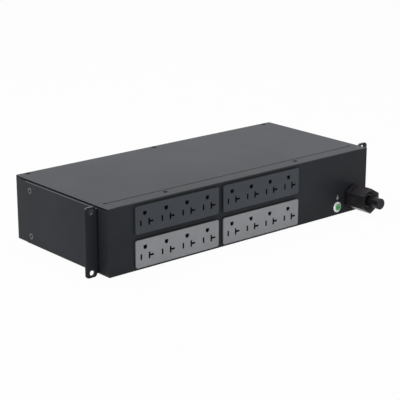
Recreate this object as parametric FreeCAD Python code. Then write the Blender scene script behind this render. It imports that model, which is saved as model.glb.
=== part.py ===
import FreeCAD, Part
import math
import os

# A two-unit rack power distribution unit: a folded steel case with a lid and two rack brackets,
# four snap-in outlet strips on the front in two banks, a ground screw and a cable gland that holds a short
# cord, with the contacts, terminals and wiring that the outlets need inside.
# Frame: X runs to the right seen from the front, Y to the rear and Z up. The origin is the middle of the
# four rack holes, on the back face of the ears, which lies against the rack's rails. Lengths are millimetres.

# Rack brackets
ear_width = 19.3            # side of the case to the free edge of an ear: 482.6 across both
ear_hole_offset = 10.55     # side of the case to a rack hole: 465.1 between the ears
ear_hole_pitch = 76.2       # between the two holes of one ear
ear_hole_radius = 3.6
ear_end_margin = 5.95       # rack hole to the top or bottom of its ear
ear_corner_radius = 4.0
ear_setback = 18.2          # front panel to the front of the ears
bracket_sheet = 2.5
bracket_bend_inside = 1.0
bracket_length = 150.0      # back of the ear to the end of the side flange
bracket_edge_gap = 2.6      # side of the case left bare above and below the flange
bracket_screw_front = 17.8  # back of the ear to the front screws
bracket_screw_end = 9.4     # rear screws to the end of the flange
bracket_screw_pitch = 60.5  # upper screws to lower screws

# Case and lid
body_width = 444.0
body_depth = 197.0
sheet = 1.2
bend_inside = 0.5
side_bend_inside = 1.8      # where the sides fold, along the floor and in under the lid
rear_corner_radius = 2.4
rim_flange = 12.0           # width of the flange that carries the lid along the sides and the rear
rim_flange_relief = 6.0     # bare wall at each end of the rear flange
lip_depth = 20.6            # front panel's return over the top
lip_end_inset = 14.0        # side of the case to the end of that return
lip_end_gap = 0.15
seam_gap = 0.5              # between the return and the lid
tongue_reach = 15.0         # lid's stepped tongue under the return
tongue_end_inset = 1.0
relief_length = 5.0         # slot at each end of the tongue
relief_width = 2.4
lid_screw_from_rear = 5.2
lid_screw_from_side = 15.5
lip_screw_from_front = 13.8
lip_screw_from_left = 98.5
lip_screw_from_right = 124.5

# Flat-head screws with clinch nuts: one thread all over the case, larger heads on the brackets
screw_shank_radius = 2.0
lid_screw_head_radius = 3.6
bracket_screw_head_radius = 3.9
countersink_clearance = 0.1
screw_hole_clearance = 0.6
screw_tail = 0.4
cross_width = 1.6           # cross recess in a head
cross_margin = 1.75         # head outside its cross recess
cross_depth = 1.2
driver_slot_width = 0.9     # straight slot in a screw
driver_slot_depth = 0.9
nut_radius = 3.2
nut_height = 2.2
thread_clearance = 0.05

# Outlets and outlet strips
outlets_per_strip = 4
outlet_pitch = 32.9
first_outlet_margin = 14.2  # left end of a strip to its first outlet
last_outlet_margin = 19.1
blade_spacing = 12.7
ground_rise = 11.9          # ground hole above the blade slots
slot_width = 2.5
hot_slot_height = 7.2
neutral_slot_height = 8.6
neutral_branch = 6.6        # sideways branch of the neutral slot
ground_hole_width = 5.6
ground_hole_flat = 2.5      # flat top of a ground hole above its middle
strip_proud = 3.0           # face in front of the panel
strip_corner_radius = 3.0
strip_edge_radius = 0.7
strip_lip = 2.9             # face past the panel's cut-out, above and below
strip_end_lip = 4.0
strip_gap = 7.8             # between the left and right strips
row_gap = 7.4               # between the upper and lower strips
strip_edge_margin = 3.8     # strips to the top and bottom of the case
strip_left_margin = 39.2
strip_front_wall = 3.0      # wall behind the panel's front, in front of the contacts
strip_ledge = 19.0          # panel's front to the ledge that carries the contact bars
strip_rim_depth = 3.0
strip_rim = 1.2
cutout_clearance = 0.3
snap_height = 1.0
snap_length = 10.0
snap_run = 4.0
snap_gap = 0.1
strip_back_wall = 2.0
back_fit_clearance = 0.15
back_screw_radius = 1.45
back_screw_head_radius = 2.6
back_screw_head_height = 1.8
back_screw_length = 11.0

# Contact bars
bar_height = 6.3
bar_sheet = 0.8
bar_gap = 1.0
bar_side_clearance = 0.3
leaf_sheet = 0.6
leaf_half_height = 3.0
blade_gap = 1.8             # between the two leaves that hold a blade
ground_pin_gap = 4.9
leaf_front = 5.0            # panel's front to the tips of the leaves
pocket_clearance = 0.8
tab_length = 8.5            # tab behind the back wall
tab_clearance = 0.2

# Ground screw
ground_from_right = 55.5
ground_above_floor = 11.6
ground_screw_radius = 2.5
ground_flange_radius = 4.4
ground_flange_height = 0.7
ground_hex = 7.0
ground_head_height = 1.9
ground_washer_radius = 7.3
ground_washer_height = 1.3
ground_washer_rim = 0.4     # straight outer edge of the sloping washer
ground_seat_margin = 0.5    # flat top of the washer beyond the screw's flange
ground_nut_hex = 8.0
ground_nut_height = 4.7
lug_sheet = 1.0
lug_radius = 5.2
lug_reach = 7.0             # screw to the start of a lug's barrel
lug_barrel_length = 8.0
lug_barrel_wall = 0.4

# Cable gland and cord
gland_from_right = 26.0
gland_above_floor = 22.0
gland_hex = 31.0
gland_thread_radius = 12.5
gland_hole_clearance = 0.2
gland_neck_radius = 13.2
gland_bore_radius = 9.2
gasket_height = 1.6
gasket_radius = 15.0
gland_flange_length = 6.0
gland_spigot_tail = 0.8     # spigot past the locknut
gland_nut_face = 34.5       # panel's front to the front of the compression nut
gland_nut_length = 24.5
gland_mouth_radius = 14.9
gland_mouth_depth = 6.5
gland_nut_wall = 4.5        # end wall of the nut behind its mouth
gland_throat_clearance = 2.8
gland_bevel = 0.4           # corners of the moulded hexagons
locknut_hex = 34.0
locknut_height = 5.0
seal_clearance = 0.1
seal_collar = 2.4           # collar of the seal between the neck and the nut's end wall
seal_bulge = 2.8            # seal squeezed out past the nut's end wall into its mouth
seal_bulge_round = 1.4
metal_hex_bevel = 0.8       # corners of the turned hexagons
cord_radius = 7.6
cord_front = 52.8           # panel's front to the end of the cord
cord_inside = 18.0          # cord inside the case
cord_end_wall = 2.0
core_offset = 3.3
wire_radius = 1.95
wire_clearance = 0.05
wire_bend = 10.0

# Terminal block
block_from_gland = 30.0     # gland's middle to the block's right side
block_behind_panel = 60.0
block_width = 26.0
block_height = 18.0
pole_pitch = 12.0
pole_margin = 7.0
pole_height = 10.0          # floor to the middle of the wires
block_foot_length = 10.0
block_foot_height = 3.0
tube_size = 8.0
tube_clearance = 0.1
tube_recess = 2.0
tube_bore_radius = 2.6
wire_insertion = 8.0
terminal_screw_radius = 1.9
terminal_screw_inset = 6.5  # block's side to a terminal screw
terminal_screw_sink = 1.0   # terminal screw below the block's top
stud_radius = 1.95
stud_hole_clearance = 0.25

# Sleeves that push onto the contact tabs
sleeve_length = 14.0
sleeve_width = 4.4
sleeve_height = 7.0
sleeve_gap = 0.5
link_reach = 13.0           # depth of the loop between two strips
lead_straight = 16.0

# Places worked out from the sizes above
bend_outside = bend_inside + sheet
side_bend_outside = side_bend_inside + sheet
ear_height = ear_hole_pitch + 2 * ear_end_margin
ear_neck = bracket_bend_inside + bracket_sheet   # the full height of an ear starts past its fold
bars_height = 3 * bar_height + bar_gap + 2 * leaf_half_height + pocket_clearance
strip_body_height = bars_height + 2 * (bar_side_clearance + strip_rim)
strip_height = strip_body_height + 2 * strip_lip
strip_length = first_outlet_margin + (outlets_per_strip - 1) * outlet_pitch + last_outlet_margin
body_height = 2 * strip_height + row_gap + 2 * strip_edge_margin
x_side = body_width / 2
z_floor = -body_height / 2
z_top = body_height / 2
z_rim = z_top - sheet
y_panel = -(bracket_sheet + ear_setback)
y_inside = y_panel + sheet
y_rear = y_panel + body_depth
lip_half = x_side - lip_end_inset
y_seam = y_panel + lip_depth + seam_gap
row_offset = (strip_height + row_gap) / 2
blade_row = bar_height + leaf_half_height - bars_height / 2   # blade slots, from the middle of a strip
y_ledge = y_panel + strip_ledge
y_back = y_ledge + strip_rim_depth
y_tab_end = y_back + strip_back_wall + tab_length
ground_x = x_side - ground_from_right
ground_z = z_floor + ground_above_floor
gland_x = x_side - gland_from_right
gland_z = z_floor + gland_above_floor
gland_spigot_end = y_inside + locknut_height + gland_spigot_tail
gland_neck_front = gland_nut_face - gland_mouth_depth - gland_nut_wall - seal_collar
gland_neck_length = gland_neck_front - gland_flange_length - gasket_height
gland_throat_radius = cord_radius + gland_throat_clearance
block_right = gland_x - block_from_gland
block_left = block_right - block_width
block_middle = (block_left + block_right) / 2
block_front = y_panel + block_behind_panel
pole_count = 4
block_length = 2 * pole_margin + (pole_count - 1) * pole_pitch
floor_top = z_floor + sheet
pole_z = floor_top + pole_height

X = FreeCAD.Vector(1, 0, 0)
Y = FreeCAD.Vector(0, 1, 0)
Z = FreeCAD.Vector(0, 0, 1)


def point(x, y, z):
    return FreeCAD.Vector(x, y, z)


def block(x0, x1, y0, y1, z0, z1):
    """Box between two corners."""
    return Part.makeBox(x1 - x0, y1 - y0, z1 - z0, point(x0, y0, z0))


def rod(radius, start, direction, length):
    """Cylinder from a point along a direction."""
    return Part.makeCylinder(radius, length, start, direction)


def join(shapes):
    """One solid from pieces that touch or overlap."""
    return shapes[0].fuse(shapes[1:]).removeSplitter()


def write(name, shapes):
    """Writes one node; a list becomes a group of separate solids."""
    shape = Part.makeCompound(shapes) if isinstance(shapes, list) else shapes
    shape.exportStep("parts/" + name + ".step")


def rounded_plate(x0, x1, z0, z1, y0, y1, radius):
    """Upright plate, thick along Y, with four rounded corners."""
    plate = block(x0, x1, y0, y1, z0, z1)
    upright = [edge for edge in plate.Edges if abs(edge.tangentAt(edge.FirstParameter).y) > 0.5]
    return plate.makeFillet(radius, upright)


def hexagon(across_flats, x, z, y0, y1, bevel):
    """Hexagonal prism along Y with a corner at the top, its outer corners bevelled at both ends."""
    corner = across_flats / math.sqrt(3)
    turns = [math.radians(90 + 60 * step) for step in range(7)]
    corners = [point(x + corner * math.cos(turn), y0, z + corner * math.sin(turn)) for turn in turns]
    prism = Part.Face(Part.makePolygon(corners)).extrude(Y * (y1 - y0))
    rounded = min(bevel, (y1 - y0) / 3)
    inner = corner - rounded
    middle = y1 - y0 - 2 * rounded
    turned = Part.makeCone(inner, corner, rounded, point(x, y0, z), Y)
    turned = turned.fuse(rod(corner, point(x, y0 + rounded, z), Y, middle))
    turned = turned.fuse(Part.makeCone(corner, inner, rounded, point(x, y1 - rounded, z), Y))
    return prism.common(turned.removeSplitter())


def bent_sheet(corners, thickness, bend, to_point, extrusion):
    """Sheet whose middle line runs through corners, each fold rounded inside by bend, swept by extrusion.

    Corners are pairs in the plane of the section, and to_point puts such a pair in its place."""
    middle = [FreeCAD.Vector(u, v, 0) for u, v in corners]
    radius = bend + thickness / 2
    sides = []
    for offset in (thickness / 2, -thickness / 2):
        edges = []
        direction = (middle[1] - middle[0]).normalize()
        here = middle[0] + Z.cross(direction) * offset
        for index in range(1, len(middle) - 1):
            following = (middle[index + 1] - middle[index]).normalize()
            turn = direction.getAngle(following)
            hand = math.copysign(1, direction.cross(following).z)
            reach = radius * math.tan(turn / 2)
            centre = middle[index] - direction * reach + Z.cross(direction) * (hand * radius)
            arc_radius = radius - hand * offset
            enter = centre - Z.cross(direction) * (hand * arc_radius)
            leave = centre - Z.cross(following) * (hand * arc_radius)
            halfway = centre + (middle[index] - centre).normalize() * arc_radius
            edges.append((here, enter))
            edges.append((enter, halfway, leave))
            here = leave
            direction = following
        edges.append((here, middle[-1] + Z.cross(direction) * offset))
        sides.append(edges)
    ends = [(sides[0][0][0], sides[1][0][0]), (sides[0][-1][-1], sides[1][-1][-1])]
    curves = []
    for spots in sides[0] + sides[1] + ends:
        placed = [to_point(spot.x, spot.y) for spot in spots]
        curves.append(Part.Arc(*placed).toShape() if len(placed) == 3 else Part.makeLine(*placed))
    outline = Part.Wire(Part.__sortEdges__(curves))
    return Part.Face(outline).extrude(extrusion)


def rear_corner_trim(side, z0, z1):
    """What is cut from a square rear corner to round it."""
    centre_x = side * (x_side - rear_corner_radius)
    edge_x = side * (x_side + 1)
    centre_y = y_rear - rear_corner_radius
    square = block(min(centre_x, edge_x), max(centre_x, edge_x), centre_y, y_rear + 1, z0, z1)
    return square.cut(rod(rear_corner_radius, point(centre_x, centre_y, z0), Z, z1 - z0))


def low_corner(side, x, z, radius, y0, y1, spare):
    """Stock along Y between a low corner and a round in it, with spare stock outside the corner."""
    inner, outer = side * (x - radius), side * (x + spare)
    square = block(min(inner, outer), max(inner, outer), y0, y1, z - spare, z + radius)
    return square.cut(rod(radius, point(inner, y0, z + radius), Y, y1 - y0))


def flat_screw(head, inward, length, head_radius):
    """Countersunk screw with a cross recess: head is the middle of its flat face."""
    cone_height = head_radius - screw_shank_radius
    screw = join([Part.makeCone(head_radius, screw_shank_radius, cone_height, head, inward),
                  rod(screw_shank_radius, head, inward, length)])
    across = X if abs(inward.x) < 0.5 else Y
    reach = head_radius - cross_margin
    recess = []
    for arm in (across, inward.cross(across)):
        side = inward.cross(arm)
        corner = head - arm * reach - side * (cross_width / 2)
        outline = Part.makePolygon([corner, corner + arm * 2 * reach,
                                    corner + arm * 2 * reach + side * cross_width,
                                    corner + side * cross_width, corner])
        recess.append(Part.Face(outline).extrude(inward * cross_depth))
    return screw.cut(recess)


def countersink(head, inward, depth, head_radius):
    """Conical seat and hole for a flat-head screw through the sheet under its head."""
    mouth = head_radius + countersink_clearance
    end = max(mouth - depth, screw_shank_radius + countersink_clearance)
    seat = Part.makeCone(mouth, end, mouth - end, head, inward)
    return seat.fuse(rod(end, head, inward, depth + 1))


def screw_hole(head, inward, depth):
    """Clear hole for the shank through the second sheet."""
    return rod(screw_shank_radius + screw_hole_clearance, head, inward, depth)


def clinch_nut(head, inward, depth):
    """Round nut whose near face is depth below the head of its screw."""
    start = head + inward * depth
    return rod(nut_radius, start, inward, nut_height).cut(
        rod(screw_shank_radius + thread_clearance, start, inward, nut_height))


def lid_screw_heads():
    spots = (-x_side + lid_screw_from_side, 0, x_side - lid_screw_from_side)
    return [point(x, y_rear - lid_screw_from_rear, z_top) for x in spots]


def lip_screw_heads():
    spots = (-x_side + lip_screw_from_left, x_side - lip_screw_from_right)
    return [point(x, y_panel + lip_screw_from_front, z_top) for x in spots]


def bracket_screw_heads(side):
    rows = (bracket_screw_front, bracket_length - bracket_screw_end)
    heights = (-bracket_screw_pitch / 2, bracket_screw_pitch / 2)
    return [point(side * (x_side + bracket_sheet), y, z) for y in rows for z in heights]


def strip_places():
    """Left end and middle height of each outlet strip."""
    left = -x_side + strip_left_margin
    right = left + strip_length + strip_gap
    return {"upper_left": (left, row_offset), "upper_right": (right, row_offset),
            "lower_left": (left, -row_offset), "lower_right": (right, -row_offset)}


def strip_body(x, z, y0, y1, clearance):
    """Part of an outlet strip that passes through the panel, or its cut-out with a clearance."""
    half = strip_body_height / 2 + clearance
    return block(x + strip_end_lip - clearance, x + strip_length - strip_end_lip + clearance,
                 y0, y1, z - half, z + half)


def chassis():
    """Floor, front with its return, sides and rear, folded and welded into one open case."""
    z_wall = z_rim - bend_outside - side_bend_outside
    y_flange_end = y_rear - rim_flange - 1
    y_corner = y_rear - rear_corner_radius
    x_corner = x_side - rear_corner_radius
    floor = block(-x_side, x_side, y_panel, y_rear, z_floor, floor_top)
    floor = floor.cut([rear_corner_trim(side, z_floor, floor_top) for side in (-1, 1)])
    pieces = [floor, block(-x_side, x_side, y_panel, y_inside, z_floor, z_top - bend_outside)]
    lip_line = [(y_panel + sheet / 2, z_wall - sheet), (y_panel + sheet / 2, z_top - sheet / 2),
                (y_panel + lip_depth, z_top - sheet / 2)]
    pieces.append(bent_sheet(lip_line, sheet, bend_inside, lambda y, z: point(-lip_half, y, z),
                             X * 2 * lip_half))
    rear_line = [(y_rear - sheet / 2, z_wall - sheet), (y_rear - sheet / 2, z_rim - sheet / 2),
                 (y_rear - rim_flange, z_rim - sheet / 2)]
    rear_half = x_side - rim_flange_relief
    pieces.append(block(-x_corner, x_corner, y_rear - sheet, y_rear, z_floor, z_wall))
    pieces.append(bent_sheet(rear_line, sheet, bend_inside, lambda y, z: point(-rear_half, y, z),
                             X * 2 * rear_half))
    for side in (-1, 1):
        outer = side * x_side
        inner = side * (x_side - sheet)
        low, high = min(outer, inner), max(outer, inner)
        pieces.append(block(low, high, y_panel, y_corner, z_floor, z_wall))
        pieces.append(low_corner(side, x_side - sheet, floor_top, side_bend_inside,
                                 y_inside, y_rear - sheet, 0))
        pieces.append(block(low, high, y_panel, y_inside, z_wall, z_rim))
        pieces.append(block(low, high, y_flange_end, y_corner, z_wall, z_rim))
        middle_x = side * (x_side - sheet / 2)
        side_line = [(middle_x, z_wall - sheet), (middle_x, z_rim - sheet / 2),
                     (side * (x_side - rim_flange), z_rim - sheet / 2)]
        pieces.append(bent_sheet(side_line, sheet, side_bend_inside, lambda x, z: point(x, y_inside, z),
                                 Y * (y_flange_end - y_inside)))
        end_low, end_high = sorted((side * lip_half, outer))
        pieces.append(block(end_low, end_high, y_panel, y_inside, z_wall, z_rim))
        bare_low, bare_high = sorted((side * rear_half, side * x_corner))
        pieces.append(block(bare_low, bare_high, y_rear - sheet, y_rear, z_wall, z_rim))
        post_foot = point(side * x_corner, y_corner, z_floor)
        post = rod(rear_corner_radius, post_foot, Z, z_rim - z_floor)
        post = post.cut(rod(rear_corner_radius - sheet, post_foot, Z, z_rim - z_floor))
        quarter_low, quarter_high = sorted((side * x_corner, outer))
        pieces.append(post.common(block(quarter_low, quarter_high, y_corner, y_rear, z_floor, z_rim)))
    for y in stud_places():
        pieces.append(rod(stud_radius, point(block_middle, y, z_floor + sheet / 2), Z,
                          sheet / 2 + block_foot_height + nut_height + screw_tail))
    case = join(pieces)
    folds = [edge for edge in case.Edges if abs(edge.CenterOfMass.z - z_floor) < 1e-6
             and abs(edge.CenterOfMass.y - y_panel) < 1e-6 and edge.Length > body_width / 2]
    case = case.makeFillet(bend_outside, folds)
    case = case.cut([low_corner(side, x_side, z_floor, side_bend_outside, y_panel - 1, y_rear + 1, 1)
                     for side in (-1, 1)])
    holes = [strip_body(x, z, y_panel - 1, y_inside + 1, cutout_clearance)
             for x, z in strip_places().values()]
    holes.append(rod(gland_thread_radius + gland_hole_clearance, on_gland(y_panel - 1), Y, sheet + 2))
    holes.append(rod(ground_screw_radius + thread_clearance, on_ground_screw(y_panel - 1), Y, sheet + 2))
    holes += [countersink(head, -Z, sheet, lid_screw_head_radius) for head in lip_screw_heads()]
    holes += [screw_hole(head, -Z, 2 * sheet + 1) for head in lid_screw_heads()]
    for side in (-1, 1):
        holes += [screw_hole(head, X * -side, bracket_sheet + sheet + 1)
                  for head in bracket_screw_heads(side)]
    return case.cut(holes)


def top_cover():
    """Flat lid with a notch for the front return and a stepped tongue that slides under it."""
    lid = block(-x_side, x_side, y_panel, y_rear, z_rim, z_top)
    step_start = y_seam + sheet + bend_inside
    notch_half = lip_half + lip_end_gap
    notch = block(-notch_half, notch_half, y_panel - 1, step_start, z_rim - 1, z_top + 1)
    lid = lid.cut([notch] + [rear_corner_trim(side, z_rim, z_top) for side in (-1, 1)])
    tongue_half = lip_half - tongue_end_inset
    level = z_rim + sheet / 2
    step = [(step_start + sheet, level), (step_start - bend_inside / 2, level),
            (step_start - bend_inside / 2 - sheet, level - sheet),
            (y_panel + lip_depth - tongue_reach, level - sheet)]
    tongue = bent_sheet(step, sheet, bend_inside, lambda y, z: point(-tongue_half, y, z), X * 2 * tongue_half)
    lid = join([lid, tongue])
    cuts = []
    for side in (-1, 1):
        low, high = sorted((side * tongue_half, side * (tongue_half + relief_length)))
        cuts.append(block(low, high, y_seam, y_seam + relief_width, z_rim - 1, z_top + 1))
    cuts += [countersink(head, -Z, sheet, lid_screw_head_radius) for head in lid_screw_heads()]
    cuts += [screw_hole(head, -Z, 2 * sheet + 1) for head in lip_screw_heads()]
    return lid.cut(cuts)


def rack_bracket(side):
    """Angle bracket: a flange on the side of the case and an ear with two rack holes."""
    flange_half = body_height / 2 - bracket_edge_gap
    middle_x = side * (x_side + bracket_sheet / 2)
    ear_edge = side * (x_side + ear_width)
    line = [(middle_x, bracket_length), (middle_x, -bracket_sheet / 2),
            (side * (x_side + ear_width - ear_corner_radius), -bracket_sheet / 2)]
    angle = bent_sheet(line, bracket_sheet, bracket_bend_inside, lambda x, y: point(x, y, -flange_half),
                       Z * 2 * flange_half)
    low, high = sorted((side * (x_side + ear_neck), ear_edge))
    ear = rounded_plate(low, high, -ear_height / 2, ear_height / 2, -bracket_sheet, 0, ear_corner_radius)
    bracket = join([angle, ear])
    hole_x = side * (x_side + ear_hole_offset)
    cuts = [rod(ear_hole_radius, point(hole_x, -bracket_sheet - 1, z), Y, bracket_sheet + 2)
            for z in (-ear_hole_pitch / 2, ear_hole_pitch / 2)]
    cuts += [countersink(head, X * -side, bracket_sheet, bracket_screw_head_radius)
             for head in bracket_screw_heads(side)]
    return bracket.cut(cuts)


def outlet_centres(x):
    return [x + first_outlet_margin + index * outlet_pitch for index in range(outlets_per_strip)]


def back_screw_spots(x, z):
    """Two spots between outlets, clear of the contact bars."""
    centres = outlet_centres(x)
    shift = (outlet_pitch + neutral_branch) / 2
    y = y_back + strip_back_wall
    return [point(centre + shift, y, z + blade_row) for centre in (centres[0], centres[-2])]


def ground_hole(x, z, y0, y1):
    """Hole for a ground pin: flat above, round below."""
    radius = ground_hole_width / 2
    upper = block(x - radius, x + radius, y0, y1, z, z + ground_hole_flat)
    lower = block(x - radius, x + radius, y0, y1, z - radius, z)
    return join([upper, rod(radius, point(x, y0, z), Y, y1 - y0).common(lower)])


def outlet_face(x, z):
    """Moulded strip: the face, slots, contact pockets, ledge for the bars and snap ramps behind the panel."""
    y_face = y_panel - strip_proud
    plate = rounded_plate(x, x + strip_length, z - strip_height / 2, z + strip_height / 2, y_face, y_panel,
                          strip_corner_radius)
    front = [edge for edge in plate.Edges if abs(edge.CenterOfMass.y - y_face) < 1e-6]
    plate = plate.makeFillet(strip_edge_radius, front)
    pieces = [plate, strip_body(x, z, y_panel, y_back, 0)]
    for centre in (x + strip_length / 4, x + strip_length * 3 / 4):
        for up in (-1, 1):
            root = z + up * strip_body_height / 2
            y_catch = y_inside + snap_gap
            ramp = Part.makePolygon([point(centre - snap_length / 2, y_catch, root),
                                     point(centre - snap_length / 2, y_catch, root + up * snap_height),
                                     point(centre - snap_length / 2, y_catch + snap_run, root),
                                     point(centre - snap_length / 2, y_catch, root)])
            pieces.append(Part.Face(ramp).extrude(X * snap_length))
    strip = join(pieces)
    rim = strip_end_lip + strip_rim
    half = strip_body_height / 2 - strip_rim
    cuts = [block(x + rim, x + strip_length - rim, y_ledge, y_back + 1, z - half, z + half)]
    y_pocket = y_panel + strip_front_wall
    row = z + blade_row
    reach = leaf_half_height + pocket_clearance
    for centre in outlet_centres(x):
        hot = centre - blade_spacing / 2
        neutral = centre + blade_spacing / 2
        half_slot = slot_width / 2
        cuts.append(block(hot - half_slot, hot + half_slot, y_face - 1, y_pocket + 1,
                          row - hot_slot_height / 2, row + hot_slot_height / 2))
        cuts.append(block(neutral - half_slot, neutral + half_slot, y_face - 1, y_pocket + 1,
                          row - neutral_slot_height / 2, row + neutral_slot_height / 2))
        cuts.append(block(neutral, neutral + neutral_branch, y_face - 1, y_pocket + 1,
                          row - half_slot, row + half_slot))
        cuts.append(ground_hole(centre, row + ground_rise, y_face - 1, y_pocket + 1))
        leaf_reach = blade_gap / 2 + leaf_sheet + pocket_clearance
        branch_end = neutral + neutral_branch + pocket_clearance
        cuts.append(block(hot - leaf_reach, hot + leaf_reach, y_pocket, y_ledge + 1,
                          row - reach, row + reach))
        cuts.append(block(neutral - leaf_reach, branch_end, y_pocket, y_ledge + 1,
                          row - neutral_slot_height / 2, row + neutral_slot_height / 2))
        pin_reach = ground_pin_gap / 2 + leaf_sheet + pocket_clearance
        cuts.append(block(centre - pin_reach, centre + pin_reach, y_pocket, y_ledge + 1,
                          row + ground_rise - reach, row + ground_rise + reach))
    for spot in back_screw_spots(x, z):
        depth = back_screw_length + 1
        cuts.append(rod(back_screw_radius + thread_clearance, spot - Y * depth, Y, depth))
    return strip.cut(cuts)


def bar_places(z):
    """Lower edge of the line, neutral and ground bars of a strip."""
    line = z - bars_height / 2
    neutral = line + bar_height + 2 * leaf_half_height + pocket_clearance
    return {"line": line, "neutral": neutral, "ground": neutral + bar_height + bar_gap}


def bar_ends(x):
    inset = strip_end_lip + strip_rim + bar_side_clearance
    return x + inset, x + strip_length - inset


def contact_bar(x, z, pole):
    """Stamped bar with a tab at each end, and at each outlet the leaves that grip a blade or pin."""
    low = bar_places(z)[pole]
    high = low + bar_height
    left, right = bar_ends(x)
    y_leaf = y_panel + leaf_front
    y_front = y_ledge + bar_sheet
    row = z + blade_row
    pieces = [block(left, right, y_ledge, y_front, low, high)]
    for tab in (left, right - bar_sheet):
        pieces.append(block(tab, tab + bar_sheet, y_ledge, y_tab_end, low, high))
    for centre in outlet_centres(x):
        if pole == "ground":
            for side in (-1, 1):
                a, b = sorted((side * ground_pin_gap / 2, side * (ground_pin_gap / 2 + leaf_sheet)))
                pieces.append(block(centre + a, centre + b, y_leaf, y_front, low,
                                    row + ground_rise + leaf_half_height))
            continue
        blade = centre + (blade_spacing / 2 if pole == "neutral" else -blade_spacing / 2)
        reach = blade_gap / 2 + leaf_sheet
        base_right = blade + (neutral_branch if pole == "neutral" else reach)
        leaf_low, leaf_high = row - leaf_half_height, row + leaf_half_height
        base_low, base_high = (leaf_low, low) if pole == "neutral" else (high, leaf_high)
        pieces.append(block(blade - reach, base_right, y_ledge, y_front, base_low, base_high))
        pieces.append(block(blade - reach, blade - blade_gap / 2, y_leaf, y_front, leaf_low, leaf_high))
        if pole == "line":
            pieces.append(block(blade + blade_gap / 2, blade + reach, y_leaf, y_front, leaf_low, leaf_high))
            continue
        for side in (-1, 1):
            a, b = sorted((side * blade_gap / 2, side * reach))
            pieces.append(block(blade + blade_gap / 2, base_right, y_leaf, y_front, row + a, row + b))
            a, b = sorted((side * blade_gap / 2, side * leaf_half_height))
            pieces.append(block(blade + blade_gap / 2, blade + reach, y_leaf, y_front, row + a, row + b))
    return join(pieces)


def outlet_back(x, z):
    """Back of a strip: a plate with a pad that holds the bars on their ledge."""
    rim = strip_rim + back_fit_clearance
    half = strip_body_height / 2 - rim
    plate = strip_body(x, z, y_back, y_back + strip_back_wall, 0)
    pad = block(x + strip_end_lip + rim, x + strip_length - strip_end_lip - rim, y_ledge + bar_sheet, y_back,
                z - half, z + half)
    cuts = []
    left, right = bar_ends(x)
    for low in bar_places(z).values():
        for tab in (left, right - bar_sheet):
            cuts.append(block(tab - tab_clearance, tab + bar_sheet + tab_clearance,
                              y_ledge, y_back + strip_back_wall + 1,
                              low - tab_clearance, low + bar_height + tab_clearance))
    for spot in back_screw_spots(x, z):
        cuts.append(rod(back_screw_radius + tab_clearance, spot - Y * (strip_rim_depth + strip_back_wall), Y,
                        strip_rim_depth + strip_back_wall + 1))
    return join([plate, pad]).cut(cuts)


def back_screw(spot):
    """Pan-head screw that holds the back of a strip."""
    head = rod(back_screw_head_radius, spot, Y, back_screw_head_height)
    shank = rod(back_screw_radius, spot - Y * back_screw_length, Y, back_screw_length)
    y_slot = spot.y + back_screw_head_height - driver_slot_depth
    slot = block(spot.x - back_screw_head_radius, spot.x + back_screw_head_radius, y_slot,
                 y_slot + driver_slot_depth, spot.z - driver_slot_width / 2, spot.z + driver_slot_width / 2)
    return join([head, shank]).cut(slot)


def on_ground_screw(y):
    return point(ground_x, y, ground_z)


def ground_screw():
    """Hex washer-head screw with a slot, long enough for the lugs behind the panel."""
    y_seat = y_panel - ground_washer_height
    y_hex = y_seat - ground_flange_height
    y_head = y_seat - ground_head_height
    shank_length = ground_stack_end() + screw_tail - y_hex
    head = join([rod(ground_flange_radius, on_ground_screw(y_seat), -Y, ground_flange_height),
                 hexagon(ground_hex, ground_x, ground_z, y_head, y_hex, metal_hex_bevel),
                 rod(ground_screw_radius, on_ground_screw(y_hex), Y, shank_length)])
    slot = block(ground_x - ground_hex, ground_x + ground_hex, y_head, y_head + driver_slot_depth,
                 ground_z - driver_slot_width / 2, ground_z + driver_slot_width / 2)
    return head.cut(slot)


def ground_lug_start():
    return y_inside + ground_nut_height


def ground_stack_end():
    return ground_lug_start() + 3 * lug_sheet + ground_nut_height


def ground_washer():
    """Washer that slopes up from its rim to a flat seat under the screw's flange."""
    y_slope = y_panel - ground_washer_rim
    rim = rod(ground_washer_radius, on_ground_screw(y_panel), -Y, ground_washer_rim)
    slope = Part.makeCone(ground_washer_radius, ground_flange_radius + ground_seat_margin,
                          ground_washer_height - ground_washer_rim, on_ground_screw(y_slope), -Y)
    return join([rim, slope]).cut(rod(ground_screw_radius + thread_clearance, on_ground_screw(y_panel), -Y,
                                      ground_washer_height))


def ground_nuts():
    """One nut against the panel and one behind the lugs."""
    nuts = []
    for y in (y_inside, ground_stack_end() - ground_nut_height):
        nut = hexagon(ground_nut_hex, ground_x, ground_z, y, y + ground_nut_height, metal_hex_bevel)
        nuts.append(nut.cut(rod(ground_screw_radius + thread_clearance, on_ground_screw(y), Y,
                                ground_nut_height)))
    return nuts


def lug_direction(index):
    """Left, up and to the left, then right, from the panel to the rear."""
    angle = math.radians((180, 135, 0)[index])
    return point(math.cos(angle), 0, math.sin(angle))


def lug_barrel(index):
    """Start of a lug's barrel on its middle line."""
    radius = wire_radius + wire_clearance + lug_barrel_wall
    y = ground_lug_start() + index * lug_sheet + radius
    return on_ground_screw(y) + lug_direction(index) * lug_reach


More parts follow.
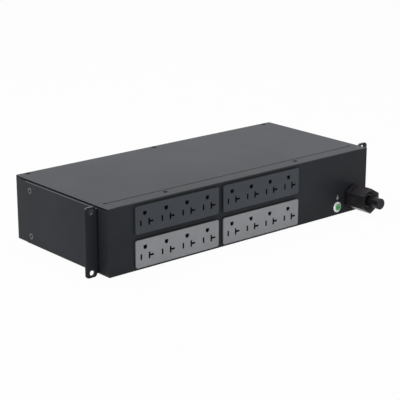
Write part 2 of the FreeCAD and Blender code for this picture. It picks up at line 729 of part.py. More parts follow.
def ground_lug(index):
    """Ring on the ground screw with a barrel for one wire."""
    y = ground_lug_start() + index * lug_sheet
    outward = lug_direction(index)
    across = outward.cross(Y)
    barrel_radius = wire_radius + wire_clearance + lug_barrel_wall
    centre = on_ground_screw(y)
    ring = rod(lug_radius, centre, Y, lug_sheet)
    corner = centre - across * barrel_radius
    neck = Part.makePolygon([corner, corner + across * 2 * barrel_radius,
                             corner + across * 2 * barrel_radius + outward * (lug_reach + lug_sheet),
                             corner + outward * (lug_reach + lug_sheet), corner])
    start = lug_barrel(index)
    barrel = rod(barrel_radius, start, outward, lug_barrel_length)
    lug = join([ring, Part.Face(neck).extrude(Y * lug_sheet), barrel])
    bore = rod(wire_radius + wire_clearance, start + outward * lug_sheet, outward, lug_barrel_length)
    return lug.cut([bore, rod(ground_screw_radius + thread_clearance, centre, Y, lug_sheet)])


def gland_y(distance):
    """Distance in front of the panel, as a Y coordinate."""
    return y_panel - distance


def on_gland(y):
    return point(gland_x, y, gland_z)


def gland_body():
    """Hexagon with a threaded spigot through the panel and a threaded neck under the nut."""
    y_flange = gland_y(gasket_height + gland_flange_length)
    y_neck = gland_y(gland_neck_front)
    body = join([hexagon(gland_hex, gland_x, gland_z, y_flange, gland_y(gasket_height), gland_bevel),
                 rod(gland_neck_radius, on_gland(y_neck), Y, gland_neck_length + gland_flange_length / 2),
                 rod(gland_thread_radius, on_gland(y_flange), Y, gland_spigot_end - y_flange)])
    return body.cut(rod(gland_bore_radius, on_gland(y_neck - 1), Y, gland_spigot_end - y_neck + 2))


def gland_gasket():
    front = on_gland(gland_y(gasket_height))
    hole = rod(gland_thread_radius + thread_clearance, front, Y, gasket_height)
    return rod(gasket_radius, front, Y, gasket_height).cut(hole)


def gland_locknut():
    nut = hexagon(locknut_hex, gland_x, gland_z, y_inside, y_inside + locknut_height, gland_bevel)
    return nut.cut(rod(gland_thread_radius + thread_clearance, on_gland(y_inside), Y, locknut_height))


def gland_seal():
    """Rubber sleeve between cord and neck, with a collar that the nut squeezes and a bulge in the mouth."""
    collar_front = gland_y(gland_neck_front + seal_collar)
    bulge_front = collar_front - gland_nut_wall - seal_bulge
    collar = rod(gland_neck_radius - seal_clearance, on_gland(collar_front), Y, seal_collar)
    sleeve = rod(gland_bore_radius - seal_clearance, on_gland(collar_front), Y, gland_neck_length)
    bulge = rod(gland_throat_radius - seal_clearance, on_gland(bulge_front), Y, collar_front - bulge_front)
    rim = [edge for edge in bulge.Edges if abs(edge.CenterOfMass.y - bulge_front) < 1e-6]
    bulge = bulge.makeFillet(seal_bulge_round, rim)
    bore_length = gland_neck_length + collar_front - bulge_front + 2
    return join([collar, sleeve, bulge]).cut(rod(cord_radius + thread_clearance, on_gland(bulge_front - 1), Y,
                                                 bore_length))


def gland_nut():
    """Compression nut with a wide conical mouth round the cord."""
    y_face = gland_y(gland_nut_face)
    y_wall = y_face + gland_mouth_depth
    nut = hexagon(gland_hex, gland_x, gland_z, y_face, y_face + gland_nut_length, gland_bevel)
    thread = rod(gland_neck_radius + thread_clearance, on_gland(y_wall + gland_nut_wall), Y, gland_nut_length)
    mouth = Part.makeCone(gland_mouth_radius, gland_throat_radius, gland_mouth_depth, on_gland(y_face), Y)
    return nut.cut([mouth, rod(gland_throat_radius, on_gland(y_wall - 1), Y, gland_nut_wall + 2), thread])


def core_places():
    """Cross position of each core in the cord."""
    shift = core_offset / math.sqrt(2)
    return {"neutral": (gland_x - shift, gland_z - shift), "line_1": (gland_x - shift, gland_z + shift),
            "line_2": (gland_x + shift, gland_z + shift), "ground": (gland_x + shift, gland_z - shift)}


def cord_jacket():
    """Jacket with four bores, closed at the front end."""
    front = gland_y(cord_front)
    length = cord_front + cord_inside
    jacket = rod(cord_radius, on_gland(front), Y, length)
    edge = [e for e in jacket.Edges if abs(e.CenterOfMass.y - front) < 1e-6 and e.Length > cord_radius * 6]
    jacket = jacket.makeFillet(cord_end_wall / 3, edge)
    return jacket.cut([rod(wire_radius + wire_clearance, point(x, front + cord_end_wall, z), Y, length)
                       for x, z in core_places().values()])


def rounded_path(corners, bend):
    """Straight runs joined by tangent arcs, each as large as its runs and bend allow."""
    edges = []
    here = corners[0]
    for index in range(1, len(corners) - 1):
        before = corners[index] - corners[index - 1]
        after = corners[index + 1] - corners[index]
        turn = before.getAngle(after)
        if turn < math.radians(1):
            continue
        shorter = min(before.Length, after.Length)
        radius = min(bend, 0.45 * shorter / math.tan(turn / 2))
        reach = radius * math.tan(turn / 2)
        enter = corners[index] - before.normalize() * reach
        leave = corners[index] + after.normalize() * reach
        towards = (leave + enter) * 0.5 - corners[index]
        depth = radius / math.cos(turn / 2) - radius
        halfway = corners[index] + towards.normalize() * depth
        edges.append(Part.makeLine(here, enter))
        edges.append(Part.Arc(enter, halfway, leave).toShape())
        here = leave
    edges.append(Part.makeLine(here, corners[-1]))
    return Part.Wire(edges)


def wire_run(corners):
    """Insulated wire along a path."""
    path = rounded_path(corners, wire_bend)
    ring = Part.Wire(Part.makeCircle(wire_radius, corners[0], corners[1] - corners[0]))
    return path.makePipeShell([ring], True, False)


def pole_y(index):
    return block_front + pole_margin + index * pole_pitch


def stud_places():
    return (block_front - block_foot_length / 2, block_front + block_length + block_foot_length / 2)


def terminal_block():
    """Moulded block with a foot at each end, channels for the terminals and holes for their screws."""
    block_end = block_front + block_length
    body = block(block_left, block_right, block_front, block_end, floor_top, floor_top + block_height)
    foot = block(block_left, block_right, block_front - block_foot_length, block_end + block_foot_length,
                 floor_top, floor_top + block_foot_height)
    cuts = [terminal_shape(low, high, tube_clearance) for low, high in terminal_poles()]
    cuts += [rod(terminal_screw_radius + tube_clearance, point(x, y, pole_z), Z, block_height)
             for x in terminal_screw_x() for y in map(pole_y, range(pole_count))]
    cuts += [rod(stud_radius + stud_hole_clearance, point(block_middle, y, floor_top - 1), Z,
                 block_foot_height + 2) for y in stud_places()]
    return join([body, foot]).cut(cuts)


def terminal_poles():
    """First and last pole of each terminal: the neutral one spans two poles, and each line has its own."""
    return ((0, 1), (2, 2), (3, 3))


def terminal_shape(low, high, clearance):
    half = tube_size / 2 + clearance
    recess = tube_recess if clearance == 0 else -1
    return block(block_left + recess, block_right - recess, pole_y(low) - half, pole_y(high) + half,
                 pole_z - half, pole_z + half)


def terminal_screw_x():
    return (block_left + terminal_screw_inset, block_right - terminal_screw_inset)


def terminal_tube(low, high):
    """Brass terminal with a bore along X and two threaded holes for each of its poles."""
    cuts = []
    for pole in range(low, high + 1):
        cuts.append(rod(tube_bore_radius, point(block_left, pole_y(pole), pole_z), X, block_width))
        cuts += [rod(terminal_screw_radius + thread_clearance, point(x, pole_y(pole), pole_z), Z, tube_size)
                 for x in terminal_screw_x()]
    return terminal_shape(low, high, 0).cut(cuts)


def terminal_screw(x, y):
    """Set screw down on a wire, with a slot."""
    foot = pole_z + wire_radius + wire_clearance
    top = floor_top + block_height - terminal_screw_sink
    screw = rod(terminal_screw_radius, point(x, y, foot), Z, top - foot)
    return screw.cut(block(x - terminal_screw_radius, x + terminal_screw_radius, y - driver_slot_width / 2,
                           y + driver_slot_width / 2, top - driver_slot_depth, top))


def stud_nut(y):
    foot = point(block_middle, y, floor_top + block_foot_height)
    hole = rod(stud_radius + thread_clearance, foot, Z, nut_height)
    return rod(nut_radius, foot, Z, nut_height).cut(hole)


def tab_middle(x, z, pole, end):
    """Middle of a contact tab, at the front end of its sleeve."""
    left, right = bar_ends(x)
    middle_x = left + bar_sheet / 2 if end == "left" else right - bar_sheet / 2
    return point(middle_x, y_back + strip_back_wall + sleeve_gap, bar_places(z)[pole] + bar_height / 2)


def sleeve(start):
    """Insulated push-on terminal, with its slot for the tab."""
    body = block(start.x - sleeve_width / 2, start.x + sleeve_width / 2, start.y, start.y + sleeve_length,
                 start.z - sleeve_height / 2, start.z + sleeve_height / 2)
    half_tab = bar_sheet / 2 + wire_clearance
    slot = block(start.x - half_tab, start.x + half_tab, start.y - 1, start.y + tab_length,
                 start.z - bar_height / 2 - wire_clearance, start.z + bar_height / 2 + wire_clearance)
    return body.cut(slot)


def strip_link(pole, row):
    """Wire loop between the facing tabs of the left and right strips of one row."""
    places = strip_places()
    first = tab_middle(*places[row + "_left"], pole, "right")
    second = tab_middle(*places[row + "_right"], pole, "left")
    inside = Y * (sleeve_length - 1)
    reach = Y * (sleeve_length + link_reach)
    loop = wire_run([first + inside, first + reach, second + reach, second + inside])
    return join([sleeve(first), sleeve(second), loop])


def block_lead(pole, row, index):
    """Wire from the right-hand strip of a row to the left side of a pole of the terminal block."""
    start = tab_middle(*strip_places()[row + "_right"], pole, "right")
    corners = [start + Y * (sleeve_length - 1), point(start.x, pole_y(index), start.z),
               point(block_left - lead_straight, pole_y(index), pole_z),
               point(block_left + tube_recess + wire_insertion, pole_y(index), pole_z)]
    return join([sleeve(start), wire_run(corners)])


def ground_lead(row, index):
    """Wire from the ground tab of a right-hand strip to a lug on the ground screw."""
    start = tab_middle(*strip_places()[row + "_right"], "ground", "right")
    outward = lug_direction(index)
    end = lug_barrel(index) + outward * (lug_sheet + wire_clearance)
    straight = end + outward * (lug_barrel_length + lead_straight)
    depth = start.y + sleeve_length + lead_straight
    across = point((start.x + straight.x) / 2, depth, (start.z + straight.z) / 2)
    lead = wire_run([start + Y * (sleeve_length - 1), point(start.x, depth, start.z), across, straight, end])
    return join([sleeve(start), lead])


def core_start(x, z):
    """Straight run of a core inside the jacket and a little past it."""
    front = gland_y(cord_front - cord_end_wall) + wire_clearance
    return [point(x, front, z), point(x, y_panel + cord_inside + lead_straight / 2, z)]


def cord_core_to_block(core, index):
    """Core of the cord, from the closed end of the jacket to the right side of a pole of the block."""
    x, z = core_places()[core]
    return wire_run(core_start(x, z) + [
        point(x, pole_y(index), pole_z),
        point(block_right - tube_recess - wire_insertion, pole_y(index), pole_z)])


def cord_core_to_ground():
    """Ground core, turned back under the jacket to its lug."""
    x, z = core_places()["ground"]
    lug = lug_barrel(2)
    loop_x = gland_x + lead_straight
    loop_y = y_panel + cord_inside + lead_straight * 3 / 2
    return wire_run(core_start(x, z) + [
        point(x, loop_y, lug.z), point(loop_x, loop_y, lug.z), point(loop_x, lug.y, lug.z),
        lug + lug_direction(2) * (lug_sheet + wire_clearance)])


def main():
    os.makedirs("parts", exist_ok=True)
    write("chassis", chassis())
    write("top_cover", top_cover())
    lid_depth = 2 * sheet
    lid_length = lid_depth + nut_height + screw_tail
    for name, heads in (("cover_front", lip_screw_heads()), ("cover_rear", lid_screw_heads())):
        write(name + "_screws", [flat_screw(head, -Z, lid_length, lid_screw_head_radius) for head in heads])
        write(name + "_nuts", [clinch_nut(head, -Z, lid_depth) for head in heads])
    for name, side in (("left", -1), ("right", 1)):
        heads = bracket_screw_heads(side)
        depth = bracket_sheet + sheet
        write("rack_bracket_" + name, rack_bracket(side))
        length = depth + nut_height + screw_tail
        write("bracket_screws_" + name, [flat_screw(head, X * -side, length, bracket_screw_head_radius)
                                         for head in heads])
        write("bracket_nuts_" + name, [clinch_nut(head, X * -side, depth) for head in heads])
    spots = []
    for name, (x, z) in strip_places().items():
        write("outlet_face_" + name, outlet_face(x, z))
        write("outlet_back_" + name, outlet_back(x, z))
        for pole in ("line", "neutral", "ground"):
            write(pole + "_contacts_" + name, contact_bar(x, z, pole))
        spots += back_screw_spots(x, z)
    write("outlet_back_screws", [back_screw(spot) for spot in spots])
    write("ground_screw", ground_screw())
    write("ground_washer", ground_washer())
    write("ground_nuts", ground_nuts())
    write("ground_lugs", [ground_lug(index) for index in range(3)])
    write("gland_body", gland_body())
    write("gland_gasket", gland_gasket())
    write("gland_locknut", gland_locknut())
    write("gland_seal", gland_seal())
    write("gland_nut", gland_nut())
    write("cord_jacket", cord_jacket())
    write("terminal_block", terminal_block())
    write("terminal_tubes", [terminal_tube(low, high) for low, high in terminal_poles()])
    write("terminal_screws", [terminal_screw(x, pole_y(pole))
                              for x in terminal_screw_x() for pole in range(pole_count)])
    write("terminal_block_nuts", [stud_nut(y) for y in stud_places()])
    write("cord_neutral_core", cord_core_to_block("neutral", 0))
    write("cord_line_1_core", cord_core_to_block("line_1", 2))
    write("cord_line_2_core", cord_core_to_block("line_2", 3))
    write("cord_ground_core", cord_core_to_ground())
    write("neutral_wires", [block_lead("neutral", "upper", 0), block_lead("neutral", "lower", 1),
                            strip_link("neutral", "upper"), strip_link("neutral", "lower")])
    write("line_1_wires", [block_lead("line", "upper", 2), strip_link("line", "upper")])
    write("line_2_wires", [block_lead("line", "lower", 3), strip_link("line", "lower")])
    write("ground_wires", [ground_lead("lower", 0), ground_lead("upper", 1),
                           strip_link("ground", "upper"), strip_link("ground", "lower")])


main()
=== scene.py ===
"""Looks of a rack power distribution unit: painted steel case, moulded outlets, cable gland and studio."""
import math

import bpy
import numpy as np
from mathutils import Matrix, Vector


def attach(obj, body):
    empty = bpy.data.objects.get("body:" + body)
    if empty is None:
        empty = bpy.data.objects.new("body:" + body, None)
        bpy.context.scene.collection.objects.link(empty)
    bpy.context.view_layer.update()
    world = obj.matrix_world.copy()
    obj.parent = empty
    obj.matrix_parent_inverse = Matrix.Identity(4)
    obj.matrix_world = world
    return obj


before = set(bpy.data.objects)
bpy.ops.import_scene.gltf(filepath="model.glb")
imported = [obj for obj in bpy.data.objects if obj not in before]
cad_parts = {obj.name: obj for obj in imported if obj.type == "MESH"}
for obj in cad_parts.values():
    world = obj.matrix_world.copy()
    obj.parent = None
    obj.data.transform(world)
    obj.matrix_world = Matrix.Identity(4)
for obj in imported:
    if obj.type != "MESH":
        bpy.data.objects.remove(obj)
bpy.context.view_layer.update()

MM = 0.001

# Places shared with the solids, in millimetres
PANEL_Y = -20.7
GLAND = (196.0, -21.0)
GLAND_NECK_RADIUS = 13.2
GLAND_NECK = (PANEL_Y - 10.0, PANEL_Y - 7.6)
FLOOR_Z = -44.05

# Small pieces over the solids, in millimetres
THREAD_PITCH = 1.5
THREAD_DEPTH = 0.7
THREAD_FOOT = 0.1
THREAD_STEPS_PER_TURN = 64
THREAD_POINTS_ACROSS = 9
EARTH_MARK = (166.6, -17.9)
EARTH_MARK_HEIGHT = 7.0
INK_THICKNESS = 0.06

# Colours as they are seen, from 0 to 1
CASE_GREY = (0.229, 0.241, 0.259)
# Lid painted a little paler than the case, as painted light on the lit top
LID_LIT_GREY = (0.238, 0.252, 0.278)
# Bracket painted a little darker than the case, as painted shade on its sides
BRACKET_SHADED_GREY = (0.220, 0.235, 0.253)
DARK_OUTLET_GREY = (0.312, 0.332, 0.362)
LIGHT_OUTLET_GREY = (0.742, 0.750, 0.766)
GLAND_BLACK = (0.150, 0.138, 0.150)
CORD_BLACK = (0.125, 0.125, 0.142)
SEAL_GREY = (0.220, 0.208, 0.228)
SCREW_BLACK = (0.110, 0.112, 0.116)
SCREW_STEEL = (0.440, 0.445, 0.450)
GROUND_GREEN = (0.480, 0.830, 0.550)
ZINC = (0.800, 0.805, 0.800)
WASHER_ZINC = (0.950, 0.955, 0.950)
BRASS = (0.780, 0.620, 0.330)
PRINT_WHITE = (0.930, 0.935, 0.930)
INNER_BLACK = (0.190, 0.190, 0.192)
LINE_1_BLACK = (0.12, 0.12, 0.12)
LINE_2_RED = (0.65, 0.10, 0.08)
NEUTRAL_WHITE = (0.82, 0.82, 0.80)
GROUND_WIRE_GREEN = (0.12, 0.45, 0.20)

# Studio, in metres and watts, with linear colours
WHITE = (1.0, 1.0, 1.0, 1.0)
FLOOR_TONES = ((0.86, 0.86, 0.86, 1.0), (0.90, 0.90, 0.90, 1.0))
FLOOR_REACH = 6.0
FLOOR_PLAIN_SHARE = 0.97
SURROUND_LIGHT = 0.22
LAMP_TARGET = (0.0, 0.08, 0.0)
LAMPS = {"overhead_softbox": {"place": (-0.2, 0.3, 1.7), "size": 2.0, "power": 22.6},
         "left_softbox": {"place": (-1.9, -0.5, 0.7), "size": 1.2, "power": 1.72}}

# Camera: angles in degrees, target and distance in metres, lens and sensor in millimetres
CAMERA_AZIMUTH = -40.33
CAMERA_ELEVATION = 16.93
CAMERA_TARGET = (0.0039, 0.0777, -0.0122)
CAMERA_DISTANCE = 1.779
CAMERA_REACH = 50.0
CAMERA_LENS = 119.31
CAMERA_SENSOR = 36.0


def linear(colour):
    """Seen colour to the linear colour that a shader takes."""
    return tuple(c / 12.92 if c <= 0.04045 else ((c + 0.055) / 1.055) ** 2.4 for c in colour) + (1.0,)


def times(base, share):
    """Linear colour made paler or darker by a share."""
    return tuple(c * share for c in base[:3]) + (1.0,)


class Shade:
    """A socket of a material; arithmetic on it adds Math nodes, and node() adds any other node."""

    def __init__(self, tree, socket=None):
        self.tree = tree
        self.socket = socket

    def node(self, kind, settings=None, inputs=None, output=0):
        """Adds a node, sets its settings first and then the values or links of its sockets."""
        made = self.tree.nodes.new("ShaderNode" + kind)
        for name, value in (settings or {}).items():
            setattr(made, name, value)
        for name, value in (inputs or {}).items():
            if isinstance(value, Shade):
                self.tree.links.new(value.socket, made.inputs[name])
            else:
                made.inputs[name].default_value = value
        return Shade(self.tree, made.outputs[output] if len(made.outputs) else None)

    def _math(self, operation, first, second):
        return self.node("Math", {"operation": operation}, {0: first, 1: second})

    def __add__(self, other):
        return self._math("ADD", self, other)

    __radd__ = __add__

    def __sub__(self, other):
        return self._math("SUBTRACT", self, other)

    def __rsub__(self, other):
        return self._math("SUBTRACT", other, self)

    def __mul__(self, other):
        return self._math("MULTIPLY", self, other)

    __rmul__ = __mul__

    def larger(self, other):
        """The larger of two values."""
        return self._math("MAXIMUM", self, other)

    def between(self, low, high):
        """0 below low and 1 above high, with a smooth run between them."""
        return self.node("MapRange", {"interpolation_type": "SMOOTHSTEP"},
                         {"Value": self, "From Min": low, "From Max": high})

    def mix(self, first, second):
        """first where this is 0 and second where it is 1; both are colours."""
        return self.node("Mix", {"data_type": "RGBA"}, {0: self, 6: first, 7: second}, output=2)


def material(name):
    """Empty material, its start for expressions, and its object coordinates."""
    made = bpy.data.materials.new(name)
    made.use_nodes = True
    made.node_tree.nodes.clear()
    start = Shade(made.node_tree)
    return made, start, start.node("TexCoord", output="Object")


def grain(start, coords, cells, detail=2.0, rough=0.5):
    """Fine noise at a number of cells per metre."""
    return start.node("TexNoise", None, {"Vector": coords, "Scale": cells, "Detail": detail, "Roughness": rough})


def soft_edge(start, radius):
    """Normal that rounds off the sharp edges of the solid."""
    return start.node("Bevel", {"samples": 4}, {"Radius": radius * MM})


def bumps(start, height, strength, distance, normal=None):
    """Normal of a fine relief, over a rounded normal where one is given; the distance is in millimetres."""
    inputs = {"Strength": strength, "Distance": distance * MM, "Height": height}
    if normal is not None:
        inputs["Normal"] = normal
    return start.node("Bump", None, inputs)


def crevice(start, reach):
    """1 on open faces and less in gaps and inside corners; it sets where painted shade goes, and in the nylon
    painted light.
    """
    return start.node("AmbientOcclusion", {"samples": 8}, {"Distance": reach * MM}, output="AO")


def facing(start):
    """Direction that the surface faces."""
    return start.node("NewGeometry", output="Normal")


def part_of(start, vector, index):
    """One coordinate of a vector: 0 for X, 1 for Y and 2 for Z."""
    return start.node("SeparateXYZ", None, {0: vector}, output=index)


def edge_line(start, radius):
    """1 along the sharp edges of the solid and 0 on its flat faces, from how far a rounded normal turns."""
    rounded = soft_edge(start, radius)
    turned = start.node("VectorMath", {"operation": "DOT_PRODUCT"}, {0: rounded, 1: facing(start)}, output="Value")
    return (1.0 - turned).between(0.01, 0.12)


def finish_surface(start, colour, roughness, normal, metallic=0.0, specular=0.5):
    """Principled shader to the output; numbers that don't vary are set on its own sockets."""
    shader = start.node("BsdfPrincipled", None, {
        "Base Color": colour, "Roughness": roughness, "Metallic": metallic, "Normal": normal,
        "Specular IOR Level": specular})
    start.node("OutputMaterial", None, {"Surface": shader})


def powder_coat(name, colour, crevice_shade_share, shaded, top_light=1.0, sideways=0.0):
    """Fine textured stoved paint with small orange-peel bumps and faint cloudiness; sharp edges painted paler as a
    painted highlight that is partly rubbed wear, and painted shade in crevices.

    The crevice share is how much of the colour the painted shade leaves in a crevice, shaded the range of openness
    over which the painted shade darkens a face, the top light how much paler the faces that look up are painted, a
    painted highlight from above, and sideways how much more open, or less where it is negative, the faces count
    that look left or right, so that the painted shade spares or darkens them."""
    made, start, coords = material(name)
    peel = grain(start, coords, cells=1500.0, detail=3.0, rough=0.6)
    clouds = grain(start, coords, cells=14.0)
    base = linear(colour)
    tone = (clouds * 0.6 + peel * 0.4).between(0.3, 0.7).mix(times(base, 0.86), times(base, 1.16))
    # Painted highlight: sharp edges painted paler, partly rubbed wear
    tone = edge_line(start, 0.6).mix(tone, times(base, 1.3))
    # Painted light: faces that look up painted paler, as lit from above
    if top_light > 1.0:
        grey = sum(base[:3]) / 3
        painted_top_light = tuple((c + grey) / 2 * top_light for c in base[:3]) + (1.0,)
        tone = part_of(start, facing(start), 2).between(0.4, 0.9).mix(tone, painted_top_light)
    # Painted shade: gaps and inside corners darkened towards the crevice share of the colour; faces that look
    # sideways count as more or less open
    across = part_of(start, facing(start), 0)
    open_face = (crevice(start, 4.0) + (across * across).between(0.3, 0.8) * sideways).between(*shaded)
    relief = bumps(start, peel, strength=0.15, distance=0.08, normal=soft_edge(start, 0.5))
    finish_surface(start, open_face.mix(times(base, crevice_shade_share), tone), 0.32 + peel * 0.08, relief, specular=0.075)
    return made


def moulded_plastic(name, colour, roughness, shaded, upper_shade_share, hole_shade):
    """Satin moulding: spark-eroded grain and faint flow marks, with painted shade in slots, holes and inside
    corners and on the narrow sides that look up.

    shaded is the range of openness over which the painted shade darkens a face, the upper shade share how much of
    the colour the painted shade leaves on the narrow sides that look up, and the hole shade how bright the painted
    shade inside the holes is."""
    made, start, coords = material(name)
    spark = grain(start, coords, cells=1600.0, rough=0.6)
    flow = grain(start, coords, cells=22.0, detail=3.0)
    base = linear(colour)
    tone = (flow * 0.7 + spark * 0.3).between(0.32, 0.68).mix(times(base, 0.93), times(base, 1.07))
    looks_up = part_of(start, facing(start), 2).between(0.4, 0.9)
    # Painted shade on the narrow sides that look up
    tone = looks_up.mix(tone, times(base, upper_shade_share))
    # Painted shade in slots, holes and inside corners
    open_face = crevice(start, 6.0).between(*shaded)
    relief = bumps(start, spark, strength=0.18, distance=0.08, normal=soft_edge(start, 0.35))
    finish_surface(start, open_face.mix((hole_shade, hole_shade, hole_shade, 1.0), tone), roughness + spark * 0.12 + looks_up * 0.4,
                   relief, specular=0.25)
    return made


def gloss_plastic(name, colour, axis):
    """Glossy nylon with a fine moulded ripple and painted light: faces that look up are painted paler, as lit from
    above, and faces in gaps and towards its axis are painted paler, as if lit inside; those towards its axis are
    also rougher.

    A face looks inwards where its direction times its place across the axis, added up over X and Z, is negative."""
    made, start, coords = material(name)
    ripple = grain(start, coords, cells=160.0)
    base = linear(colour)
    # Paler tone used as painted light inside the mouth and in gaps
    painted_light_tone = times(base, 5.0)
    across = (part_of(start, coords, 0) - axis[0] * MM) * part_of(start, facing(start), 0)
    across = across + (part_of(start, coords, 2) - axis[1] * MM) * part_of(start, facing(start), 2)
    inside = (0.0 - across).between(0.001, 0.003)
    looks_up = part_of(start, facing(start), 2).between(0.1, 0.7)
    tone = ripple.between(0.35, 0.65).mix(base, times(base, 1.15))
    # Painted light: faces that look up painted paler, as lit from above, and faces towards the axis paler still
    tone = inside.mix(looks_up.mix(tone, times(base, 1.9)), painted_light_tone)
    # Painted light in gaps
    tone = crevice(start, 4.0).between(0.25, 0.70).mix(painted_light_tone, tone)
    relief = bumps(start, ripple, strength=0.1, distance=0.05, normal=soft_edge(start, 0.4))
    finish_surface(start, tone, 0.26 + ripple * 0.1 + inside * 0.2, relief, specular=0.35)
    return made


def rubber_skin(name, colour):
    """Extruded rubber: dull, with fine streaks along the cord."""
    made, start, coords = material(name)
    along = start.node("Mapping", None, {"Vector": coords, "Scale": (1.0, 0.06, 1.0)})
    streak = grain(start, along, cells=1400.0)
    base = linear(colour)
    tone = streak.between(0.35, 0.65).mix(base, times(base, 1.3))
    relief = bumps(start, streak, strength=0.1, distance=0.06)
    finish_surface(start, tone, 0.20 + streak * 0.08, relief, specular=0.20)
    return made


def plated_metal(name, colour, roughness):
    """Bare or plated metal with fine turning marks and a patchy passivation."""
    made, start, coords = material(name)
    marks = grain(start, coords, cells=2600.0)
    patch = grain(start, coords, cells=160.0)
    base = linear(colour)
    tone = patch.between(0.35, 0.65).mix(times(base, 0.72), base)
    relief = bumps(start, marks, strength=0.12, distance=0.05, normal=soft_edge(start, 0.25))
    finish_surface(start, tone, roughness + marks * 0.15, relief, metallic=1.0)
    return made


def dyed_screw(name, colour, specular):
    """Screw with a dyed finish, a little worn by the tool."""
    made, start, coords = material(name)
    scuff = grain(start, coords, cells=700.0, detail=4.0, rough=0.7)
    base = linear(colour)
    worn = tuple(min(1.0, c * 1.7 + 0.03) for c in base[:3]) + (1.0,)
    tone = scuff.between(0.56, 0.72).mix(base, worn)
    relief = bumps(start, scuff, strength=0.2, distance=0.06, normal=soft_edge(start, 0.4))
    finish_surface(start, tone, 0.4 + scuff * 0.2, relief, specular=specular)
    return made


def printed_ink(name, colour):
    """Screen-printed ink, slightly uneven over the textured paint."""
    made, start, coords = material(name)
    cover = grain(start, coords, cells=1200.0)
    base = linear(colour)
    tone = cover.between(0.35, 0.6).mix(times(base, 0.88), base)
    relief = bumps(start, cover, strength=0.1, distance=0.03)
    finish_surface(start, tone, 0.5 + cover * 0.1, relief, specular=0.3)
    return made


def mesh_piece(name, corners, faces, finish, smooth=True):
    """Mesh object at the origin from arrays of corners in millimetres and of faces."""
    mesh = bpy.data.meshes.new(name)
    mesh.from_pydata((corners * MM).tolist(), [], faces.tolist())
    mesh.polygons.foreach_set("use_smooth", np.full(len(mesh.polygons), smooth))
    mesh.materials.append(finish)
    mesh.update()
    piece = bpy.data.objects.new(name, mesh)
    bpy.context.scene.collection.objects.link(piece)
    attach(piece, "root")
    return piece


def grid_faces(rows, columns):
    """Quads of a grid of points, rows by columns."""
    row, column = np.meshgrid(np.arange(rows - 1), np.arange(columns - 1), indexing="ij")
    first = row * columns + column
    return np.stack([first, first + 1, first + columns + 1, first + columns], axis=-1).reshape(-1, 4)


def screw_thread(name, centre, radius, ends, pitch, depth, finish):
    """Helical ridge: a rounded profile carried along a helix about an axis in Y.

    t runs from 0 to 1 along the helix, which turns evenly and moves evenly along Y. s runs from 0 to 1 across the
    ridge, whose height over its sunk foot is the sine of pi times s, and both ends of the ridge run out to nothing
    over a quarter of a turn."""
    turns = (ends[1] - ends[0]) / pitch
    t = np.linspace(0.0, 1.0, int(turns * THREAD_STEPS_PER_TURN))[:, None]
    s = np.linspace(0.0, 1.0, THREAD_POINTS_ACROSS)[None, :]
    run_out = np.clip(np.minimum(t, 1.0 - t) * turns * 4.0, 0.0, 1.0)
    swell = radius - THREAD_FOOT + (THREAD_FOOT + depth * run_out) * np.sin(np.pi * s)
    angle = 2.0 * np.pi * turns * t + 0.0 * s
    corners = np.stack([centre[0] + swell * np.cos(angle),
                        ends[0] + (ends[1] - ends[0] - pitch) * t + pitch * s,
                        centre[1] + swell * np.sin(angle)], axis=-1)
    faces = grid_faces(t.size, s.size)[:, ::-1]
    return mesh_piece(name, corners.reshape(-1, 3), faces, finish)


def earth_mark(name, centre, height, finish):
    """Standard earth symbol: an upright stem over three bars that grow shorter downwards, each a thin tile.

    Rows of the table are bars: middle across, middle up, half width and half height, as shares of the height."""
    bars = np.array([[0.0, 0.24, 0.07, 0.26], [0.0, -0.05, 0.36, 0.065],
                     [0.0, -0.25, 0.235, 0.065], [0.0, -0.45, 0.11, 0.065]]) * height
    corner = np.array([[-1, -1], [1, -1], [1, 1], [-1, 1]])
    flat = bars[:, None, :2] + corner[None] * bars[:, None, 2:]
    front = np.stack([centre[0] + flat[..., 0], np.full(flat.shape[:2], PANEL_Y - INK_THICKNESS),
                      centre[1] + flat[..., 1]], axis=-1)
    back = front + np.array([0.0, INK_THICKNESS, 0.0])
    corners = np.concatenate([front, back], axis=1).reshape(-1, 3)
    tile = np.array([[0, 1, 2, 3], [1, 0, 4, 5], [2, 1, 5, 6], [3, 2, 6, 7], [0, 3, 7, 4]])
    faces = (tile[None] + 8 * np.arange(len(bars))[:, None, None]).reshape(-1, 4)
    return mesh_piece(name, corners, faces, finish, smooth=False)


def dress(prefixes, finish):
    """Gives a finish to every solid whose name starts with one of the prefixes."""
    for name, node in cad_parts.items():
        if name.startswith(prefixes):
            node.data.materials.clear()
            node.data.materials.append(finish)


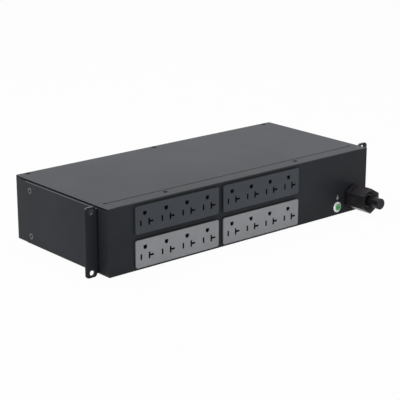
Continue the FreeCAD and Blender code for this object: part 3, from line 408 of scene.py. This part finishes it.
def dress_solids():
    """Finishes of all the solids, from general names to particular ones."""
    zinc = plated_metal("bright_zinc", ZINC, roughness=0.28)
    dress(("",), zinc)
    # The paints carry painted shade in crevices and painted highlights on edges; the lid's sides are painted darker
    # and the bracket's faces that look up paler, as painted light
    dress(("chassis",),
          powder_coat("case_powder_coat", CASE_GREY, crevice_shade_share=0.30, shaded=(0.10, 0.85), sideways=1.0))
    dress(("top_cover",),
          powder_coat("lid_powder_coat", LID_LIT_GREY, crevice_shade_share=0.05, shaded=(0.74, 0.98), sideways=-0.25))
    dress(("rack_bracket",),
          powder_coat("bracket_powder_coat", BRACKET_SHADED_GREY, crevice_shade_share=0.8, shaded=(0.10, 0.50), top_light=4.6))
    # The outlet plastics carry painted shade in slots, holes and corners and on their sides that look up
    dress(("outlet_face_upper",),
          moulded_plastic("dark_outlet_plastic", DARK_OUTLET_GREY, roughness=0.36, shaded=(0.40, 0.82),
                          upper_shade_share=0.10, hole_shade=0.030))
    dress(("outlet_face_lower",),
          moulded_plastic("light_outlet_plastic", LIGHT_OUTLET_GREY, roughness=0.36, shaded=(0.45, 0.88),
                          upper_shade_share=0.45, hole_shade=0.001))
    dress(("outlet_back_lower", "outlet_back_upper", "terminal_block"),
          moulded_plastic("inner_plastic", INNER_BLACK, roughness=0.5, shaded=(0.40, 0.85),
                          upper_shade_share=1.0, hole_shade=0.002))
    dress(("terminal_block_nuts",), zinc)
    dress(("line_contacts", "neutral_contacts", "ground_contacts", "terminal_tubes"),
          plated_metal("stamped_brass", BRASS, roughness=0.25))
    dress(("cover_front_screws", "cover_rear_screws"), dyed_screw("black_screw", SCREW_BLACK, specular=0.05))
    dress(("bracket_screws",), plated_metal("bracket_screw_steel", SCREW_STEEL, roughness=0.35))
    dress(("ground_screw",), dyed_screw("green_screw", GROUND_GREEN, specular=0.6))
    dress(("ground_washer",), plated_metal("bright_washer", WASHER_ZINC, roughness=0.65))
    # The nylon carries painted light on faces that look up, in gaps and inside its mouth
    dress(("gland_body", "gland_nut", "gland_locknut"), gloss_plastic("gland_nylon", GLAND_BLACK, GLAND))
    dress(("gland_gasket", "cord_jacket"), rubber_skin("black_rubber", CORD_BLACK))
    dress(("gland_seal",), rubber_skin("grey_seal_rubber", SEAL_GREY))
    dress(("cord_line_1", "line_1_wires"), rubber_skin("black_insulation", LINE_1_BLACK))
    dress(("cord_line_2", "line_2_wires"), rubber_skin("red_insulation", LINE_2_RED))
    dress(("cord_neutral", "neutral_wires"), rubber_skin("white_insulation", NEUTRAL_WHITE))
    dress(("cord_ground", "ground_wires"), rubber_skin("green_insulation", GROUND_WIRE_GREEN))


def add_details():
    """Small pieces over the solids: the gland's thread and the earth symbol beside the ground screw."""
    thread = screw_thread("gland_thread", GLAND, GLAND_NECK_RADIUS, GLAND_NECK, THREAD_PITCH, THREAD_DEPTH,
                          bpy.data.materials["gland_nylon"])
    mark = earth_mark("earth_symbol", EARTH_MARK, EARTH_MARK_HEIGHT, printed_ink("white_print", PRINT_WHITE))


def white_to_view(start, lit):
    """Strength of a background that is white to the camera and in reflections, and lit for everything else."""
    seen = start.node("LightPath", output="Is Camera Ray")
    seen = seen.larger(start.node("LightPath", output="Is Glossy Ray"))
    seen = seen.larger(start.node("LightPath", output="Is Transmission Ray"))
    return seen * (1.0 - lit) + lit


def surroundings():
    """White all round to the camera, and a dim even light for the object."""
    world = bpy.data.worlds.new("studio_white")
    bpy.context.scene.world = world
    world.use_nodes = True
    world.node_tree.nodes.clear()
    start = Shade(world.node_tree)
    sky = start.node("Background", None, {"Color": WHITE, "Strength": white_to_view(start, SURROUND_LIGHT)})
    start.node("OutputWorld", None, {"Surface": sky})


def pale_floor():
    """Pale matt floor that looks almost white to the camera and keeps a soft shadow."""
    finish, start, coords = material("pale_floor")
    tone = grain(start, coords, cells=6.0).between(0.3, 0.7).mix(*FLOOR_TONES)
    matt = start.node("BsdfDiffuse", None, {"Color": tone})
    glow = start.node("Emission", None, {"Color": WHITE, "Strength": 1.0})
    shown = white_to_view(start, 0.0) * FLOOR_PLAIN_SHARE
    both = start.node("MixShader", None, {0: shown, 1: matt, 2: glow})
    start.node("OutputMaterial", None, {"Surface": both})
    mesh = bpy.data.meshes.new("floor")
    corners = [(-1, -1), (1, -1), (1, 1), (-1, 1)]
    mesh.from_pydata([(x * FLOOR_REACH, y * FLOOR_REACH, FLOOR_Z * MM) for x, y in corners], [], [(0, 1, 2, 3)])
    mesh.materials.append(finish)
    floor = bpy.data.objects.new("floor", mesh)
    bpy.context.scene.collection.objects.link(floor)


def lamp(name, place, size, power):
    """Square area lamp turned to the object, in metres and watts."""
    light = bpy.data.lights.new(name, "AREA")
    light.size = size
    light.energy = power
    holder = bpy.data.objects.new(name, light)
    holder.location = place
    holder.rotation_euler = (Vector(LAMP_TARGET) - Vector(place)).to_track_quat("-Z", "Y").to_euler()
    bpy.context.scene.collection.objects.link(holder)


def studio():
    """White surroundings, a pale floor and large soft lamps."""
    surroundings()
    pale_floor()
    for name, settings in LAMPS.items():
        lamp(name, **settings)


def camera():
    """Camera that matches the photo's view."""
    azimuth, elevation = math.radians(CAMERA_AZIMUTH), math.radians(CAMERA_ELEVATION)
    back = Vector((math.sin(azimuth) * math.cos(elevation), -math.cos(azimuth) * math.cos(elevation),
                   math.sin(elevation)))
    lens = bpy.data.cameras.new("photo_view")
    lens.sensor_width = CAMERA_SENSOR
    lens.lens = CAMERA_LENS
    lens.clip_end = CAMERA_REACH
    holder = bpy.data.objects.new("photo_view", lens)
    holder.location = Vector(CAMERA_TARGET) + back * CAMERA_DISTANCE
    holder.rotation_euler = (-back).to_track_quat("-Z", "Y").to_euler()
    bpy.context.scene.collection.objects.link(holder)
    bpy.context.scene.camera = holder


bpy.context.scene.view_settings.view_transform = "Standard"
dress_solids()
add_details()
studio()
camera()
